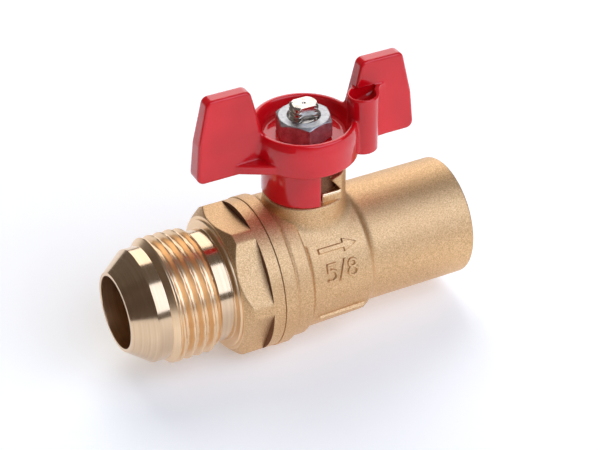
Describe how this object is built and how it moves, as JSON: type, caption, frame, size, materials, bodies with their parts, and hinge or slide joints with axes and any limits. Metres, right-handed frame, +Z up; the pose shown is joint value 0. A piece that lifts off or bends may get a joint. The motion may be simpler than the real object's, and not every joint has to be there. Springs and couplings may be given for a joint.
{
  "type": "ball valve",
  "caption": "Small brass ball valve with a flare fitting at one end, a solder socket at the other and a red wing handle.",
  "frame": {"origin": "centre of the outlet socket's mouth, on the flow axis", "axes": "+X out of the outlet along the flow axis, +Z up the stem towards the handle"},
  "size_m": [0.0645, 0.0268, 0.0503],
  "materials": {
    "brass": "blasted satin",
    "ball_chrome": "polished plate",
    "stem_nickel": "nickel plate",
    "ptfe": "matte",
    "rubber": "matte",
    "red_enamel": "gloss enamel",
    "zinc_steel": "zinc plate"
  },
  "bodies": {
    "valve_body": {"body": "brass", "flare_connector": "brass", "seat_ring_inlet": "ptfe", "seat_ring_outlet": "ptfe"},
    "handle_assembly": {"stem": "stem_nickel", "stem_o_ring_lower": "rubber", "stem_o_ring_upper": "rubber", "stem_thrust_washer": "ptfe", "handle": "red_enamel", "handle_nut": "zinc_steel"},
    "ball": {"ball": "ball_chrome"}
  },
  "joints": [
    {"name": "handle_turn", "type": "hinge", "parent": "valve_body", "child": "handle_assembly", "pos_m": [-0.0286, 0, 0.018], "axis": [0, 0, 1], "range_deg": [-90, 0]},
    {"name": "ball_turn", "type": "hinge", "parent": "valve_body", "child": "ball", "pos_m": [-0.0286, 0, 0], "axis": [0, 0, 1], "range_deg": [-90, 0]}
  ],
  "couplings": [
    {"joint": "ball_turn", "follows": "handle_turn", "ratio": 1}
  ]
}
